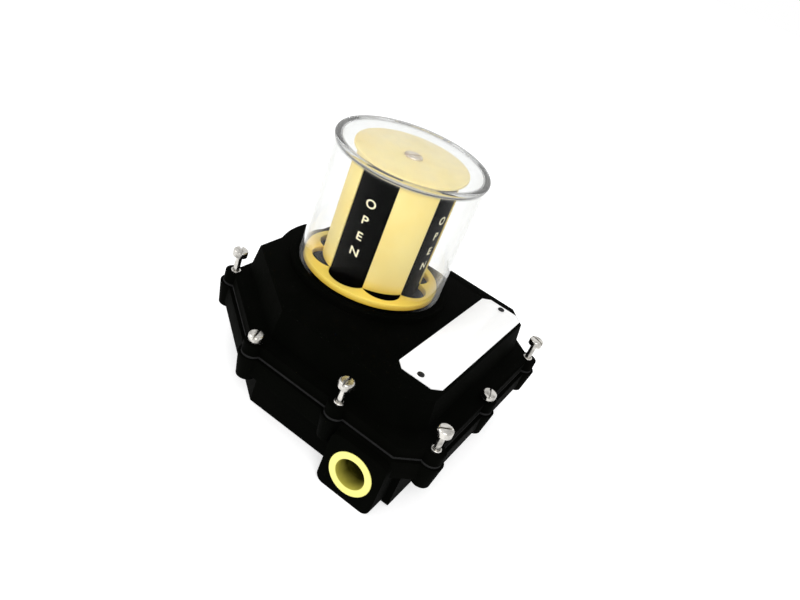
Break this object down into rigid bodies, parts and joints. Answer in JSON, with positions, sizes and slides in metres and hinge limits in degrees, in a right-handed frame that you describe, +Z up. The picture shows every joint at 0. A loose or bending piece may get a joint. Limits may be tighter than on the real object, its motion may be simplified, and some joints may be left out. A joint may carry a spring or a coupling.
{
  "type": "valve limit switch box",
  "caption": "Black valve limit switch box with a clear domed position beacon, captive cover screws, a bare nameplate, a plugged conduit entry and a slotted drive shaft underneath.",
  "frame": {"origin": "drive shaft axis on the plane of the mounting pads", "axes": "+Z up along the drive shaft towards the beacon, +X along the nameplate away from the conduit entry, -Y towards the nameplate side"},
  "size_m": [0.1349, 0.137, 0.1133],
  "materials": {
    "black_paint": "matt, slightly textured",
    "gasket": "matt",
    "stainless": "bright",
    "plate": "matt white",
    "pin_black": "matt",
    "lemon_plastic": "satin",
    "bronze": "sintered",
    "dark_nylon": "satin",
    "clear": "clear",
    "beacon_yellow": "satin",
    "drum_black": "satin",
    "cam_plastic": "satin",
    "switch_black": "satin",
    "switch_button": "satin",
    "brass": "bright",
    "sheet": "matt",
    "strip_black": "satin"
  },
  "bodies": {
    "case": {"housing": "black_paint", "cover": "black_paint", "cover_gasket": "gasket", "cover_screws_seated": "stainless", "retaining_rings": "stainless", "nameplate": "plate", "nameplate_pins": "pin_black", "bushing_lower": "bronze", "bushing_upper": "bronze", "shaft_seal": "gasket", "indicator_carrier": "drum_black", "carrier_screws": "stainless", "dome": "clear", "dome_seal": "gasket", "indicator_post": "stainless", "beacon_mask": "beacon_yellow", "beacon_screw": "stainless", "switch_lower": "switch_black", "switch_upper": "switch_black", "switch_terminals": "brass", "switch_spacer": "sheet", "switch_screws": "stainless", "terminal_strip": "strip_black", "terminal_screws": "brass", "strip_screws": "stainless", "ground_screw": "brass"},
    "shaft": {"drive_shaft": "stainless", "shaft_clip": "stainless", "shaft_gear": "dark_nylon", "cam_lower": "cam_plastic", "cam_upper": "cam_plastic", "cam_setscrews": "stainless"},
    "layshaft": {"layshaft": "dark_nylon", "layshaft_gear": "dark_nylon", "layshaft_clip": "stainless"},
    "drum": {"indicator_drum": "drum_black", "drum_gear": "dark_nylon"},
    "lever_low": {"lever_lower": "stainless"},
    "lever_high": {"lever_upper": "stainless"},
    "roller_low": {"roller_lower": "dark_nylon"},
    "roller_high": {"roller_upper": "dark_nylon"},
    "plunger_low": {"plunger_lower": "switch_button"},
    "plunger_high": {"plunger_upper": "switch_button"},
    "screw_back_left": {"cover_screw_back_left": "stainless"},
    "screw_left": {"cover_screw_left": "stainless"},
    "screw_front_left": {"cover_screw_front_left": "stainless"},
    "screw_front_right": {"cover_screw_front_right": "stainless"},
    "plug": {"conduit_plug": "lemon_plastic"}
  },
  "joints": [
    {"name": "shaft_turn", "type": "hinge", "parent": "case", "child": "shaft", "pos_m": [0, 0, 0.02], "axis": [0, 0, 1], "range_deg": [0, 90]},
    {"name": "layshaft_turn", "type": "hinge", "parent": "case", "child": "layshaft", "pos_m": [0.00875, 0.01516, 0.044], "axis": [0, 0, 1], "range_deg": [-61, 1]},
    {"name": "drum_turn", "type": "hinge", "parent": "case", "child": "drum", "pos_m": [0, 0, 0.075], "axis": [0, 0, 1], "range_deg": [-0.5, 45.5]},
    {"name": "lever_low_swing", "type": "hinge", "parent": "case", "child": "lever_low", "pos_m": [-0.013, -0.0179, 0.01945], "axis": [0, 0, 1], "range_deg": [-6.1, 0.1]},
    {"name": "lever_high_swing", "type": "hinge", "parent": "case", "child": "lever_high", "pos_m": [-0.013, -0.0179, 0.03055], "axis": [0, 0, 1], "range_deg": [-0.1, 6.1]},
    {"name": "roller_low_spin", "type": "hinge", "parent": "lever_low", "child": "roller_low", "pos_m": [0.0015, -0.0155, 0.01945], "axis": [0, 0, 1], "continuous": true},
    {"name": "roller_high_spin", "type": "hinge", "parent": "lever_high", "child": "roller_high", "pos_m": [0.00167, -0.01703, 0.03055], "axis": [0, 0, 1], "continuous": true},
    {"name": "plunger_low_press", "type": "slide", "parent": "case", "child": "plunger_low", "axis": [0, 1, 0], "range_m": [-0.00045, 0.00001]},
    {"name": "plunger_high_press", "type": "slide", "parent": "case", "child": "plunger_high", "axis": [0, 1, 0], "range_m": [-0.00001, 0.00045]},
    {"name": "screw_back_left_lift", "type": "slide", "parent": "case", "child": "screw_back_left", "axis": [0, 0, 1], "range_m": [-0.008, 0]},
    {"name": "screw_left_lift", "type": "slide", "parent": "case", "child": "screw_left", "axis": [0, 0, 1], "range_m": [-0.008, 0]},
    {"name": "screw_front_left_lift", "type": "slide", "parent": "case", "child": "screw_front_left", "axis": [0, 0, 1], "range_m": [-0.008, 0]},
    {"name": "screw_front_right_lift", "type": "slide", "parent": "case", "child": "screw_front_right", "axis": [0, 0, 1], "range_m": [-0.008, 0]},
    {"name": "plug_pull", "type": "slide", "parent": "case", "child": "plug", "axis": [-1, 0, 0], "range_m": [0, 0.02]}
  ],
  "couplings": [
    {"joint": "layshaft_turn", "follows": "shaft_turn", "ratio": -0.66667},
    {"joint": "drum_turn", "follows": "shaft_turn", "ratio": 0.5},
    {"joint": "lever_low_swing", "follows": "shaft_turn", "ratio": -0.066667},
    {"joint": "lever_high_swing", "follows": "shaft_turn", "ratio": 0.066667},
    {"joint": "plunger_low_press", "follows": "shaft_turn", "m_per_rad": -0.00027375},
    {"joint": "plunger_high_press", "follows": "shaft_turn", "m_per_rad": 0.00027375}
  ]
}
